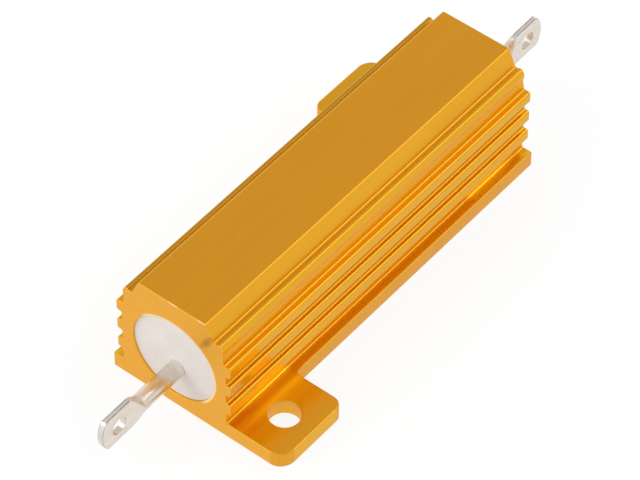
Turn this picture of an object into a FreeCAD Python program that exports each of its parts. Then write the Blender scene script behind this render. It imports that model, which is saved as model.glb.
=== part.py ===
import FreeCAD, Part

import math
import os

# Aluminium housed power resistor, in millimetres. +Y runs along the body, +Z is up, and the
# origin is at the bottom centre of the base. One end is called near (-Y), the other far (+Y).
# The housing is a finned extrusion with two feet left at opposite corners of its flange. The
# wound element lies in its bore, potted in cement, and a flattened solder lug leaves each end.

# Housing: the extruded section
body_length = 50.0
base_thickness = 2.0
flange_half_width = 14.45
strip_half_width = 8.2
groove_floor_x = 6.9
rib_tip_x = 7.55
rib_count = 3
rib_share_of_pitch = 0.525
first_rib_z = 3.6
neck_foot_x = 6.7
neck_x = 6.45
neck_height = 1.33
bead_tip_x = 6.68
bead_radius = 0.7
bead_drop = 1.37
bead_back_x = 5.9
bead_back_radius = 0.12
valley_foot_x = 5.74
shoulder_drop = 1.98
shoulder_x = 5.4
shoulder_fall = 0.14
top_half_width = 4.25
body_height = 15.5
tip_radius = 0.35
root_radius = 0.22
valley_radius = 0.06
edge_radius = 0.2
top_edge_radius = 0.3

# Housing: the feet and their holes
foot_length = 9.75
foot_corner_radius = 1.8
foot_root_radius = 0.4
hole_radius = 1.75
hole_to_side = 3.75
hole_to_end = 4.75
hole_chamfer = 0.15

# Housing: the bore
bore_radius = 5.4
bore_z = 7.0
bore_chamfer = 0.12

# Cement potting
cement_recess = 0.4
potting_gap = 0.02

# Wound element
core_radius = 2.7
core_to_end = 4.5
cap_wall = 0.4
cap_depth = 3.5
cap_corner_chamfer = 0.25
ribbon_width = 1.8
ribbon_thickness = 0.25
ribbon_pitch = 2.6
winding_gap = 0.02
near_end_settling = 0.58
far_end_settling = 0.15

# Solder lugs
lead_radius = 1.0
lead_overhang = 5.8
flattening_length = 1.5
blade_half_width = 2.1
blade_half_thickness = 0.4
blade_edge_radius = 0.25
lug_reach = 11.7
blade_end_rise = 0.7
blade_corner_radius = 0.8
eye_setback = 2.5
eye_radius = 0.95

# Sizes that follow from those above
half_length = body_length / 2
bead_top_z = body_height - shoulder_drop
rib_space = bead_top_z - bead_drop - neck_height - first_rib_z
rib_pitch = rib_space / (rib_count - 1 + rib_share_of_pitch)
rib_height = rib_share_of_pitch * rib_pitch
hole_x = flange_half_width - hole_to_side
hole_y = half_length - hole_to_end
core_length = body_length - 2 * core_to_end
cap_radius = core_radius + cap_wall
cap_end_y = core_length / 2 + cap_wall
lead_end_y = half_length + lead_overhang
blade_y = lead_end_y + flattening_length
lug_end_y = half_length + lug_reach
slack_in_bore = bore_radius - cap_radius
near_drop = near_end_settling * slack_in_bore
far_drop = far_end_settling * slack_in_bore

ALONG = FreeCAD.Vector(0, 1, 0)
UP = FreeCAD.Vector(0, 0, 1)
ACROSS = FreeCAD.Vector(1, 0, 0)


def rounded_outline(corners, to_point):
    """A closed wire through (u, v, radius) corners, each one rounded by an arc of its radius."""
    edges, starts, ends = [], [], []
    count = len(corners)
    for index, (u, v, radius) in enumerate(corners):
        corner = FreeCAD.Vector(u, v, 0)
        before = FreeCAD.Vector(*corners[index - 1][:2], 0) - corner
        after = FreeCAD.Vector(*corners[(index + 1) % count][:2], 0) - corner
        before.normalize()
        after.normalize()
        if radius == 0:
            starts.append(corner)
            ends.append(corner)
            continue
        half_angle = before.getAngle(after) / 2
        reach = radius / math.tan(half_angle)
        start, end = corner + before * reach, corner + after * reach
        bisector = (before + after).normalize()
        middle = corner + bisector * (radius / math.sin(half_angle) - radius)
        edges.append(Part.Arc(to_point(start), to_point(middle), to_point(end)).toShape())
        starts.append(start)
        ends.append(end)
    for index in range(count):
        start, end = ends[index], starts[(index + 1) % count]
        if (end - start).Length > 1e-6:
            edges.append(Part.LineSegment(to_point(start), to_point(end)).toShape())
    return Part.Wire(Part.__sortEdges__(edges))


def section_point(point):
    """A section drawn as (x, z) at the near end of the body."""
    return FreeCAD.Vector(point.x, -half_length, point.y)


def plan_point(point):
    """A plan drawn as (x, y) on the floor."""
    return FreeCAD.Vector(point.x, point.y, 0)


def right_side_corners():
    """The section's right side from the flange's lower edge up to the top face."""
    corners = [
        (flange_half_width, 0, edge_radius),
        (flange_half_width, base_thickness, edge_radius),
        (groove_floor_x, base_thickness, root_radius),
    ]
    for number in range(rib_count):
        low = first_rib_z + number * rib_pitch
        high = low + rib_height
        corners += [
            (groove_floor_x, low, root_radius),
            (rib_tip_x, low, tip_radius),
            (rib_tip_x, high, tip_radius),
            (groove_floor_x, high, root_radius),
        ]
    corners[-1] = (neck_foot_x, high, root_radius)
    corners += [
        (neck_x, bead_top_z - bead_drop, root_radius),
        (bead_tip_x, bead_top_z - bead_drop + bead_tip_x - neck_x, root_radius),
        (bead_tip_x, bead_top_z, bead_radius),
        (bead_back_x, bead_top_z, bead_back_radius),
        (valley_foot_x, bead_top_z - shoulder_fall, valley_radius),
        (shoulder_x, bead_top_z - shoulder_fall, root_radius),
        (top_half_width, body_height, top_edge_radius),
    ]
    return corners


def turned_about_z(shape):
    """The shape's twin at the other end: the same shape turned half a turn about +Z."""
    twin = shape.copy()
    twin.rotate(FreeCAD.Vector(0, 0, 0), UP, 180)
    return twin


def drilled_hole(radius, chamfer, depth):
    """A cutter for a hole from z = 0 to depth, with both mouths chamfered."""
    cutter = Part.makeCylinder(radius, depth)
    low_mouth = Part.makeCone(radius + chamfer, radius, chamfer)
    high_mouth = Part.makeCone(radius, radius + chamfer, chamfer, FreeCAD.Vector(0, 0, depth - chamfer))
    return cutter.multiFuse([low_mouth, high_mouth]).removeSplitter()


def housing():
    """The extruded section, punched to its plan with two feet, then drilled and bored."""
    right = right_side_corners()
    left = [(-x, z, radius) for x, z, radius in reversed(right)]
    bar = Part.Face(rounded_outline(right + left, section_point)).extrude(ALONG * body_length)

    foot_y = half_length - foot_length
    one_side = [
        (flange_half_width, -half_length, foot_corner_radius),
        (flange_half_width, -foot_y, foot_corner_radius),
        (strip_half_width, -foot_y, foot_root_radius),
        (strip_half_width, half_length, 0),
    ]
    plan = one_side + [(-x, -y, radius) for x, y, radius in one_side]
    punch = Part.Face(rounded_outline(plan, plan_point)).extrude(UP * body_height)
    body = bar.common(punch)

    foot_hole = drilled_hole(hole_radius, hole_chamfer, base_thickness)
    foot_hole.translate(FreeCAD.Vector(hole_x, -hole_y, 0))
    bore = drilled_hole(bore_radius, bore_chamfer, body_length)
    bore.rotate(FreeCAD.Vector(0, 0, 0), ACROSS, -90)
    bore.translate(FreeCAD.Vector(0, -half_length, bore_z))
    return body.cut([foot_hole, turned_about_z(foot_hole), bore])


def along_bore(shape, start_y):
    """Lays a shape that was made up +Z from z = 0 along the bore's axis, from start_y."""
    laid = shape.copy()
    laid.rotate(FreeCAD.Vector(0, 0, 0), ACROSS, -90)
    laid.translate(FreeCAD.Vector(0, start_y, bore_z))
    return laid


def settled(shape):
    """The element sank before its cement set, most at the near end, as the photo shows."""
    moved = shape.copy()
    moved.translate(UP * -far_drop)
    angle = math.degrees(math.asin((near_drop - far_drop) / body_length))
    moved.rotate(FreeCAD.Vector(0, half_length, bore_z - far_drop), ACROSS, angle)
    return moved


def ceramic_core():
    """The plain rod that carries the winding."""
    return along_bore(Part.makeCylinder(core_radius, core_length), -core_length / 2)


def end_cap_far():
    """A drawn cup over the far end of the core, with its closed end outward."""
    depth = cap_depth + cap_wall
    cup = Part.makeCylinder(cap_radius, depth)
    closed_end = [edge for edge in cup.Edges if edge.BoundBox.ZMin > depth - 1e-6]
    cup = cup.makeChamfer(cap_corner_chamfer, closed_end)
    cup = cup.cut(Part.makeCylinder(core_radius, cap_depth))
    return along_bore(cup, core_length / 2 - cap_depth)


def resistance_winding():
    """A ribbon wound on the core as a helix, from one cap's rim to the other's."""
    span = core_length - 2 * cap_depth
    inner = core_radius + winding_gap
    outer = inner + ribbon_thickness
    path = Part.Wire(Part.makeHelix(ribbon_pitch, span - ribbon_width, inner))
    section = Part.makePolygon([
        FreeCAD.Vector(inner, 0, -ribbon_width / 2),
        FreeCAD.Vector(outer, 0, -ribbon_width / 2),
        FreeCAD.Vector(outer, 0, ribbon_width / 2),
        FreeCAD.Vector(inner, 0, ribbon_width / 2),
        FreeCAD.Vector(inner, 0, -ribbon_width / 2),
    ])
    ribbon = path.makePipeShell([section], True, True)
    return along_bore(ribbon, (ribbon_width - span) / 2)


def lug_section(share):
    """The outline across the lug: the round lead at share 0, the slab of the blade at share 1."""
    flat_z = blade_half_width - blade_edge_radius
    flat_x = blade_half_thickness - blade_edge_radius
    half_chord = math.radians(22.5)
    edges = []
    for quarter in range(4):
        side = FreeCAD.Rotation(UP, 90 * quarter)
        long_side = quarter % 2 == 0
        reach, flat = (blade_half_thickness, flat_z) if long_side else (blade_half_width, flat_x)
        inset = (1 - math.sqrt(0.5)) * blade_edge_radius
        slab = [(reach, -flat), (reach, 0), (reach, flat), (reach - inset, flat + blade_edge_radius - inset)]
        slab.append((reach - blade_edge_radius, flat + blade_edge_radius))
        spread = [-half_chord, 0, half_chord, 2 * half_chord, 3 * half_chord]
        round_lead = [(lead_radius * math.cos(angle), lead_radius * math.sin(angle)) for angle in spread]
        points = []
        for (ru, rv), (su, sv) in zip(round_lead, slab):
            turned = side.multVec(FreeCAD.Vector(ru + share * (su - ru), rv + share * (sv - rv), 0))
            points.append(FreeCAD.Vector(turned.x, lead_end_y + share * flattening_length, bore_z + turned.y))
        for start, middle, end in (points[0:3], points[2:5]):
            straight = (middle - start).normalize().isEqual((end - middle).normalize(), 1e-6)
            curve = Part.LineSegment(start, end) if straight else Part.Arc(start, middle, end)
            edges.append(curve.toShape())
    return Part.Wire(edges)


def blade_plan():
    """The blade seen from its side, as a prism: a shallow round end with rounded corners."""
    end_radius = (blade_half_width ** 2 + blade_end_rise ** 2) / (2 * blade_end_rise)
    end_centre = FreeCAD.Vector(0, lug_end_y - end_radius, bore_z)
    corner_z = blade_half_width - blade_corner_radius
    corner_y = math.sqrt((end_radius - blade_corner_radius) ** 2 - corner_z ** 2)
    towards_corner = FreeCAD.Vector(0, corner_y, corner_z).normalize()
    edges = []
    for up in (1, -1):
        centre = end_centre + FreeCAD.Vector(0, corner_y, up * corner_z)
        outward = FreeCAD.Vector(0, 0, up)
        slanted = FreeCAD.Vector(0, towards_corner.y, up * towards_corner.z)
        between = (outward + slanted).normalize()
        side_end = centre + outward * blade_corner_radius
        side_start = FreeCAD.Vector(0, blade_y, side_end.z)
        edges.append(Part.LineSegment(side_start, side_end).toShape())
        edges.append(Part.Arc(side_end, centre + between * blade_corner_radius,
                              centre + slanted * blade_corner_radius).toShape())
    upper = end_centre + FreeCAD.Vector(0, towards_corner.y, towards_corner.z) * end_radius
    lower = end_centre + FreeCAD.Vector(0, towards_corner.y, -towards_corner.z) * end_radius
    edges.append(Part.Arc(upper, FreeCAD.Vector(0, lug_end_y, bore_z), lower).toShape())
    edges.append(Part.LineSegment(
        FreeCAD.Vector(0, blade_y, bore_z + blade_half_width),
        FreeCAD.Vector(0, blade_y, bore_z - blade_half_width)).toShape())
    face = Part.Face(Part.Wire(Part.__sortEdges__(edges)))
    face.translate(ACROSS * -lead_radius)
    return face.extrude(ACROSS * 2 * lead_radius)


def terminal_far():
    """A round lead welded to the cap, flattened past its overhang into a blade with an eye."""
    lead = along_bore(Part.makeCylinder(lead_radius, lead_end_y - cap_end_y), cap_end_y)
    flattening = Part.makeLoft([lug_section(step / 4) for step in range(5)], True)
    blade = Part.Face(lug_section(1)).extrude(ALONG * (lug_end_y - blade_y)).common(blade_plan())
    eye_start = FreeCAD.Vector(-lead_radius, lug_end_y - eye_setback, bore_z)
    eye = Part.makeCylinder(eye_radius, 2 * lead_radius, eye_start, ACROSS)
    return lead.multiFuse([flattening, blade]).cut(eye)


def cement_filling():
    """Cement cast in the bore, a little short of both ends, round all that lies in it."""
    length = body_length - 2 * cement_recess
    plug = along_bore(Part.makeCylinder(bore_radius, length), -length / 2)
    ribbon_outside = core_radius + winding_gap + ribbon_thickness
    hollows = [
        (ribbon_outside + potting_gap, core_length / 2 - cap_depth),
        (lead_radius + potting_gap, half_length),
    ]
    cavity = [along_bore(Part.makeCylinder(radius, 2 * reach), -reach) for radius, reach in hollows]
    cap_space = cap_depth + cap_wall + 2 * potting_gap
    for start in (core_length / 2 - cap_depth - potting_gap, -cap_end_y - potting_gap):
        cavity.append(along_bore(Part.makeCylinder(cap_radius + potting_gap, cap_space), start))
    return plug.cut([settled(hollow) for hollow in cavity])


cap_far = end_cap_far()
lug_far = terminal_far()
inner_pieces = {
    "ceramic_core": settled(ceramic_core()),
    "resistance_winding": settled(resistance_winding()),
    "end_cap_near": settled(turned_about_z(cap_far)),
    "end_cap_far": settled(cap_far),
    "terminal_near": settled(turned_about_z(lug_far)),
    "terminal_far": settled(lug_far),
}
pieces = {"housing": housing(), "cement_filling": cement_filling(), **inner_pieces}

os.makedirs("parts", exist_ok=True)
for name, shape in pieces.items():
    solids = shape.Solids
    if not shape.isValid() or len(solids) != 1:
        raise ValueError(f"{name} is not one sound solid")
    solids[0].exportStep(f"parts/{name}.step")
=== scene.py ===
"""Aluminium housed power resistor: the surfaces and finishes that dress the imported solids."""

import math

import bpy
import numpy as np
from bpy.props import FloatProperty, FloatVectorProperty, PointerProperty
from mathutils import Matrix, Vector


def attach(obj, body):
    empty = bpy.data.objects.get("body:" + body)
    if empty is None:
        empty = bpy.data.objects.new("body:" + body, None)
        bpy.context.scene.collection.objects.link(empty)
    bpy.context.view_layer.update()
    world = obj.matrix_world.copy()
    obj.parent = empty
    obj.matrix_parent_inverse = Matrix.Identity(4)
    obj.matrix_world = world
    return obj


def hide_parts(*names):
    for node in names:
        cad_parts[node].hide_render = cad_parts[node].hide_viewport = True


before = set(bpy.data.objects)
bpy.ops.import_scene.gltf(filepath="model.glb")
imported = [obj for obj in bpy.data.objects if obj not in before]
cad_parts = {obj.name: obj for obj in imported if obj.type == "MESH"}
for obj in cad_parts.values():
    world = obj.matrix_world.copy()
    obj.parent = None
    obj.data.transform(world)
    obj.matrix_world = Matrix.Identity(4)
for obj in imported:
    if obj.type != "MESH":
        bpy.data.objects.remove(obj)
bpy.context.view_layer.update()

bl_info = {
    "name": "Aluminium Housed Resistor",
    "version": (1, 0, 0),
    "blender": (4, 5, 0),
    "location": "View3D > Sidebar > Resistor",
    "description": "Builds the housing, potting and solder lugs of a finned power resistor",
    "category": "Add Mesh",
}

MM = 0.001

# The pieces' sizes, in millimetres: the solids' own, apart from forms smaller than 0.35
BODY_LENGTH = 50.0
BASE_THICKNESS = 2.0
FLANGE_HALF_WIDTH = 14.45
STRIP_HALF_WIDTH = 8.2
GROOVE_FLOOR_X = 6.9
RIB_TIP_X = 7.55
RIB_COUNT = 3
RIB_SHARE = 0.525
FIRST_RIB_Z = 3.6
NECK_FOOT_X = 6.7
NECK_X = 6.45
NECK_HEIGHT = 1.33
BEAD_TIP_X = 6.6
BEAD_SIDE_RADIUS = 0.4
BEAD_CROWN_X = 6.3
BEAD_CROWN_RADIUS = 0.25
BEAD_SLANT = 0.54
BEAD_DROP = 1.37
BEAD_BACK_X = 5.9
BEAD_BACK_RADIUS = 0.12
VALLEY_FOOT_X = 5.74
SHOULDER_DROP = 1.98
SHOULDER_X = 5.4
SHOULDER_FALL = 0.14
TOP_HALF_WIDTH = 4.42
BODY_HEIGHT = 15.5
TIP_RADIUS = 0.28
ROOT_RADIUS = 0.22
VALLEY_RADIUS = 0.06
EDGE_RADIUS = 0.2
TOP_EDGE_RADIUS = 0.3
FOOT_LENGTH = 9.75
FOOT_CORNER_RADIUS = 1.8
FOOT_INNER_RADIUS = 1.25
FOOT_ROOT_RADIUS = 0.4
ROLL_WIDTH = 0.28
ROLL_DEPTH = 0.14
HOLE_RADIUS = 1.75
HOLE_X = 10.7
HOLE_Y = 20.25
HOLE_MOUTH = 0.1
BORE_RADIUS = 5.4
BORE_Z = 7.0
BORE_MOUTH = 0.12
CEMENT_RECESS = 0.4
POTTING_GAP = 0.02
CAP_END_Y = 20.9
CAP_RADIUS = 3.1
CAP_RIM_Y = 17.0
WINDING_RADIUS = 2.97
NEAR_DROP = 1.334
FAR_DROP = 0.345
NEAR_ASIDE = 0.3
LEAD_RADIUS = 1.0
LEAD_END_Y = 30.8
BLADE_Y = 32.3
BLADE_HALF_WIDTH = 2.1
BLADE_HALF_THICKNESS = 0.4
BLADE_EDGE_RADIUS = 0.25
LUG_END_Y = 36.7
BLADE_END_RISE = 0.7
BLADE_CORNER_RADIUS = 0.8
EYE_Y = 34.2
EYE_RADIUS = 1.03
EYE_MOUTH = 0.06

# Small forms and fades that only the skins have, in millimetres
SIDE_TURN = 0.12
SIDE_FADE = 1.0
ROLL_FADE = 0.9
BEND_MARGIN = 0.1
PLUG_RADIUS = BORE_RADIUS - 0.005
REACH_ON_LEAD = 0.3
REACH_IN_BORE = 0.22
WAVE_HEIGHT = 0.025
WAVE_X = 1.1
WAVE_Z = 0.9
SHEARED_EDGE_RADIUS = 0.12
SHEARED_FADE = 0.5
SPREAD_START_Y = LEAD_END_Y - 0.1
PRESSED_START_Y = LEAD_END_Y - 0.3
LEAD_STATIONS = [CAP_END_Y, 24.0, 27.0]

# How many points go round the circles and along the lug's parts
BORE_COUNT = 96
HOLE_COUNT = 64
EYE_COUNT = 48
POTTING_COUNT = 33
PRESSED_COUNT = 40
BLADE_SIDE_COUNT = 6
BLADE_CORNER_COUNT = 12
BLADE_END_COUNT = 21

HALF_LENGTH = BODY_LENGTH / 2
BEAD_TOP_Z = BODY_HEIGHT - SHOULDER_DROP
RIB_PITCH = (BEAD_TOP_Z - BEAD_DROP - NECK_HEIGHT - FIRST_RIB_Z) / (RIB_COUNT - 1 + RIB_SHARE)
RIB_HEIGHT = RIB_SHARE * RIB_PITCH
ARC_STEP = math.radians(11.25)
QUARTER = np.linspace(0.0, math.pi / 2, 6)

X_AXIS, Y_AXIS, Z_AXIS = np.eye(3)
HALF_TURN = np.array([-1.0, -1.0, 1.0])

EXTRUDED, SAWN, PUNCHED, DRILLED = range(4)
TINNED, DARK_EDGE = range(2)


def smooth(value):
    """0 below 0, 1 above 1, and 3 t squared less 2 t cubed between them."""
    t = np.clip(value, 0.0, 1.0)
    return t * t * (3.0 - 2.0 * t)


def unit(vectors):
    """Each vector divided by its own length."""
    return vectors / np.maximum(np.linalg.norm(vectors, axis=-1, keepdims=True), 1e-12)


def rounded_path(corners):
    """An open path through (u, v, radius) corners, with the material on its left.

    Each corner is an arc that touches both of its sides: its centre is one radius off the
    path, and its points are that centre plus or less the radius times the turning normal.
    Gives the points and their outward normals, which are the direction turned right.
    """
    places = np.array([corner[:2] for corner in corners])
    ways = unit(np.diff(places, axis=0))
    points = [places[:1]]
    normals = [np.array([[ways[0, 1], -ways[0, 0]]])]
    for (u, v, radius), before, after in zip(corners[1:-1], ways[:-1], ways[1:]):
        turn = math.atan2(before[0] * after[1] - before[1] * after[0], before @ after)
        side = 1.0 if turn > 0 else -1.0
        start = np.array([u, v]) - before * radius * math.tan(abs(turn) / 2)
        count = max(1, math.ceil(abs(turn) / ARC_STEP - 1e-6)) if abs(turn) > 1e-9 else 0
        heading = math.atan2(before[1], before[0]) + np.linspace(0.0, turn, count + 1)
        outward = np.stack([np.sin(heading), -np.cos(heading)], axis=1)
        points.append(start - side * radius * outward[0] + side * radius * outward)
        normals.append(outward)
    points.append(places[-1:])
    normals.append(np.array([[ways[-1, 1], -ways[-1, 0]]]))
    return np.concatenate(points), np.concatenate(normals)


def directions(angle):
    """Unit vectors in a plane: the cosine and the sine of each angle."""
    return np.stack([np.cos(angle), np.sin(angle)], axis=-1)


def full_turn(count):
    """Directions at equal angles, with the first one again at the end."""
    return directions(np.arange(count + 1) * 2 * math.pi / count)


def circle(centre, radius, count):
    """Points at equal angles on a circle in a plane."""
    return centre + radius * full_turn(count)[:-1]


# Where raised() puts two flat coordinates and the height
ON_XY = (0, 1, 2)
ON_XZ = (0, 2, 1)
ON_YZ = (1, 2, 0)


def raised(flat_points, height, axes):
    """Flat points put in space, at one height or at a height for each of them."""
    points = np.empty(flat_points.shape[:-1] + (3,))
    points[..., axes[0]] = flat_points[..., 0]
    points[..., axes[1]] = flat_points[..., 1]
    points[..., axes[2]] = height
    return points


def placed(name, data):
    """An object with some data, linked to the scene."""
    made = bpy.data.objects.new(name, data)
    bpy.context.scene.collection.objects.link(made)
    return made


class Skin:
    """The faces of one piece, in millimetres, gathered until they are made one mesh."""

    def __init__(self):
        self.parts = []

    def keep(self, points, normals, sizes, finish):
        self.parts.append((points, normals, sizes, np.full(len(sizes), finish)))

    def grid(self, points, normals, finish=0):
        """A face between each four neighbours of a grid, turned to agree with the normals."""
        def corners(values):
            around = [values[:-1, :-1], values[1:, :-1], values[1:, 1:], values[:-1, 1:]]
            return np.stack(around, axis=2).reshape(-1, 4, 3)
        faces = corners(points)
        facing = corners(normals)
        across = np.cross(faces[:, 2] - faces[:, 0], faces[:, 3] - faces[:, 1])
        inside_out = (across * facing.sum(axis=1)).sum(axis=1) < 0
        faces[inside_out] = faces[inside_out][:, ::-1]
        facing[inside_out] = facing[inside_out][:, ::-1]
        sizes = np.full(len(faces), 4)
        self.keep(faces.reshape(-1, 3), facing.reshape(-1, 3), sizes, finish)

    def flat(self, outline, normal, finish=0):
        """One flat face, turned so that the loop's area vector agrees with the normal."""
        area = np.cross(outline, np.roll(outline, -1, axis=0)).sum(axis=0)
        loop = outline if area @ normal > 0 else outline[::-1]
        normals = np.broadcast_to(normal, loop.shape)
        self.keep(loop, normals, np.array([len(loop)]), finish)

    def flat_with_hole(self, outline, hole, normal, finish=0):
        """A flat face round a hole, cut in two along lines from the hole to the outline."""
        centre = hole.mean(axis=0)
        around = unit(outline - centre)
        spans = np.linalg.norm(outline - centre, axis=1)
        first = int(np.argmin(spans))
        nearness = 0.002
        second = int(np.argmin(around @ around[first] + nearness * spans))
        nearest = [int(np.argmax((hole - centre) @ around[place])) for place in (first, second)]

        def turns_with(loop):
            spokes = loop - centre
            return np.cross(spokes, np.roll(spokes, -1, axis=0)).sum(axis=0) @ normal > 0

        def stretch(loop, start, end):
            count = (end - start) % len(loop)
            return loop[(start + np.arange(count + 1)) % len(loop)]

        if turns_with(outline) != turns_with(hole):
            hole = hole[::-1]
            nearest = [len(hole) - 1 - place for place in nearest]
        ends = (first, second)
        for start, end in ((0, 1), (1, 0)):
            outer = stretch(outline, ends[start], ends[end])
            inner = stretch(hole, nearest[start], nearest[end])
            self.flat(np.concatenate([outer, inner[::-1]]), normal, finish)

    def turn_twin(self):
        """Adds what there is once more, turned half a turn about +Z."""
        self.parts += [(points * HALF_TURN, normals * HALF_TURN, sizes, finishes)
                       for points, normals, sizes, finishes in self.parts]

    def piece(self, name, slot, materials, place=None):
        """The mesh: points that agree to a ten thousandth are one, and empty faces go."""
        points, normals, sizes, finishes = (np.concatenate(rows) for rows in zip(*self.parts))
        if place is not None:
            points = place(points)
            normals = unit(place(normals) - place(np.zeros(3)))
        kinds, corner = np.unique(np.round(points, 4), axis=0, return_inverse=True)
        corner = corner.reshape(-1)
        starts = np.cumsum(sizes) - sizes
        before = np.arange(len(corner)) - 1
        before[starts] = starts + sizes - 1
        face = np.repeat(np.arange(len(sizes)), sizes)
        kept = corner != corner[before]
        sizes = np.bincount(face[kept], minlength=len(sizes))
        kept &= (sizes >= 3)[face]
        finishes = finishes[sizes >= 3]
        sizes = sizes[sizes >= 3]
        used, corner = np.unique(corner[kept], return_inverse=True)
        mesh = bpy.data.meshes.new(name)
        mesh.vertices.add(len(used))
        mesh.vertices.foreach_set("co", (kinds[used] * MM).ravel())
        mesh.loops.add(len(corner))
        mesh.loops.foreach_set("vertex_index", corner.ravel())
        mesh.polygons.add(len(sizes))
        mesh.polygons.foreach_set("loop_start", np.cumsum(sizes) - sizes)
        mesh.polygons.foreach_set("material_index", finishes)
        for material in materials:
            mesh.materials.append(material)
        mesh.update(calc_edges=True)
        mesh.normals_split_custom_set(unit(normals[kept]))
        piece = placed(name, mesh)
        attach(piece, "root")
        return piece


def revolved(skin, rows, centre, along, count, finish=0):
    """A profile carried round an axis: each row is radius, distance, radial and axial normal."""
    rows = np.asarray(rows, float)
    across = np.cross(along, Z_AXIS if abs(along[2]) < 0.9 else X_AXIS)
    upward = np.cross(across, along)
    spoke = full_turn(count) @ np.stack([across, upward])
    radius, distance, radial, axial = (rows[:, i, None, None] for i in range(4))
    points = np.asarray(centre) + radius * spoke + distance * along
    skin.grid(points, radial * spoke + axial * along, finish)


def mouth_rows(radius, rounding, start, inward):
    """A hole's rounded mouth, from its face to its wall: a quarter circle."""
    swing = QUARTER[::-1]
    return np.stack([
        radius + rounding * (1 - np.cos(swing)),
        start + inward * rounding * (1 - np.sin(swing)),
        -np.cos(swing),
        -inward * np.sin(swing),
    ], axis=1)


def through_rows(radius, rounding, low, high):
    """A through hole's wall with a rounded mouth at each end."""
    return np.concatenate([mouth_rows(radius, rounding, low, 1.0),
                           mouth_rows(radius, rounding, high, -1.0)[::-1]])


def settled(points):
    """Where the sunken element's points go: lowered, then turned about the far end.

    Y and Z are those of a turn about X whose sine is the difference of the two drops over
    the body's length. Within the potting the near lead also bends aside, by smoothstep of
    its way to the face.
    """
    swing = math.asin((NEAR_DROP - FAR_DROP) / BODY_LENGTH)
    y = points[..., 1] - HALF_LENGTH
    z = points[..., 2] - BORE_Z
    bend_start = CAP_END_Y + BEND_MARGIN
    bend_end = HALF_LENGTH - CEMENT_RECESS
    way_out = (-points[..., 1] - bend_start) / (bend_end - bend_start)
    return np.stack([
        points[..., 0] + NEAR_ASIDE * smooth(way_out),
        HALF_LENGTH + y * math.cos(swing) - z * math.sin(swing),
        BORE_Z - FAR_DROP + y * math.sin(swing) + z * math.cos(swing),
    ], axis=-1)


def section_corners():
    """The section's right side, from the plate's top up to the middle of the top face."""
    corners = [(GROOVE_FLOOR_X, BASE_THICKNESS, ROOT_RADIUS)]
    for number in range(RIB_COUNT):
        low = FIRST_RIB_Z + number * RIB_PITCH
        high = low + RIB_HEIGHT
        corners += [
            (GROOVE_FLOOR_X, low, ROOT_RADIUS),
            (RIB_TIP_X, low, TIP_RADIUS),
            (RIB_TIP_X, high, TIP_RADIUS),
            (GROOVE_FLOOR_X, high, ROOT_RADIUS),
        ]
    corners[-1] = (NECK_FOOT_X, high, ROOT_RADIUS)
    neck_top = BEAD_TOP_Z - BEAD_DROP
    return corners + [
        (NECK_X, neck_top, ROOT_RADIUS),
        (BEAD_TIP_X, neck_top + BEAD_TIP_X - NECK_X, ROOT_RADIUS),
        (BEAD_TIP_X, BEAD_TOP_Z - BEAD_SLANT, BEAD_SIDE_RADIUS),
        (BEAD_CROWN_X, BEAD_TOP_Z, BEAD_CROWN_RADIUS),
        (BEAD_BACK_X, BEAD_TOP_Z, BEAD_BACK_RADIUS),
        (VALLEY_FOOT_X, BEAD_TOP_Z - SHOULDER_FALL, VALLEY_RADIUS),
        (SHOULDER_X, BEAD_TOP_Z - SHOULDER_FALL, ROOT_RADIUS),
        (TOP_HALF_WIDTH, BODY_HEIGHT, TOP_EDGE_RADIUS),
        (0.0, BODY_HEIGHT, 0.0),
    ]


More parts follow.
